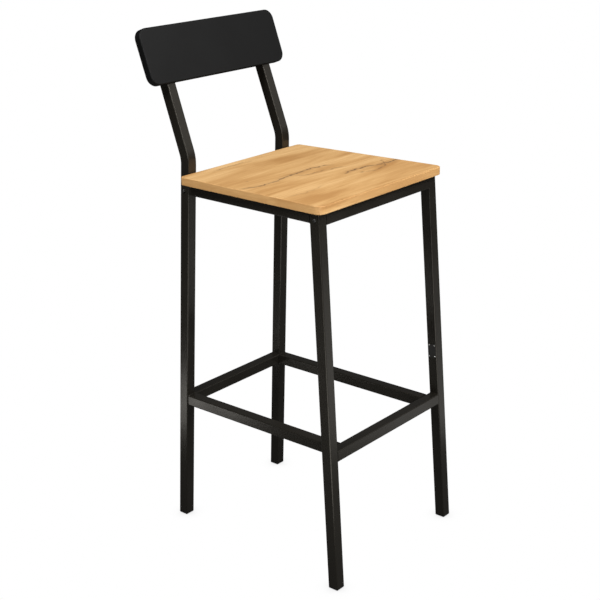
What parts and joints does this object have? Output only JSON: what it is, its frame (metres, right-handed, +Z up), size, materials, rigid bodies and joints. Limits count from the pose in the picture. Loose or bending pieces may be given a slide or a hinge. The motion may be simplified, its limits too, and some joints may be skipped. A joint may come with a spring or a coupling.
{
  "type": "bar stool with footrest",
  "caption": "High stool: splayed square-tube steel frame with a footrest ring, tapered wooden seat board and a wide, low panel back on uprights that lean back.",
  "frame": {"origin": "on the floor, at the middle of the stool's overall width and depth", "axes": "+Z up; the stool faces -Y, with the backrest towards +Y; +X to the right of a person who looks along +Y at its front"},
  "size_m": [0.384, 0.491, 1.0309],
  "materials": {
    "powder_coat": "semi-gloss black powder coat",
    "bolt_steel": "black oxide",
    "bare_steel": "plain mild steel",
    "seat_decor": "matt golden oak board, lightly textured",
    "seat_edge": "matt oak edge banding",
    "zinc_screw": "zinc plated",
    "back_laminate": "matt black laminate",
    "glide_plastic": "black polyethylene",
    "plate_metal": "dark anodised, blank",
    "rivet_metal": "bright rivet heads"
  },
  "bodies": {
    "root": {"backrest_panel": "back_laminate", "backrest_screws": "zinc_screw", "foot_glide_left_front": "glide_plastic", "foot_glide_left_rear": "glide_plastic", "foot_glide_right_front": "glide_plastic", "foot_glide_right_rear": "glide_plastic", "footrest_front_rail": "powder_coat", "footrest_left_rail": "powder_coat", "footrest_rear_rail": "powder_coat", "footrest_right_rail": "powder_coat", "frame_bolts": "bolt_steel", "left_front_leg": "powder_coat", "left_rear_leg": "powder_coat", "plate_rivets": "rivet_metal", "rating_plate": "plate_metal", "right_front_leg": "powder_coat", "right_rear_leg": "powder_coat", "seat_board": "seat_decor", "seat_edge_band": "seat_edge", "seat_front_rail": "powder_coat", "seat_front_rail_plates": "bare_steel", "seat_left_rail": "powder_coat", "seat_rear_rail": "powder_coat", "seat_rear_rail_plates": "bare_steel", "seat_right_rail": "powder_coat", "seat_screws": "zinc_screw", "seat_tab_left_front": "powder_coat", "seat_tab_left_rear": "powder_coat", "seat_tab_right_front": "powder_coat", "seat_tab_right_rear": "powder_coat", "upright_cap_left": "glide_plastic", "upright_cap_right": "glide_plastic"}
  },
  "joints": []
}
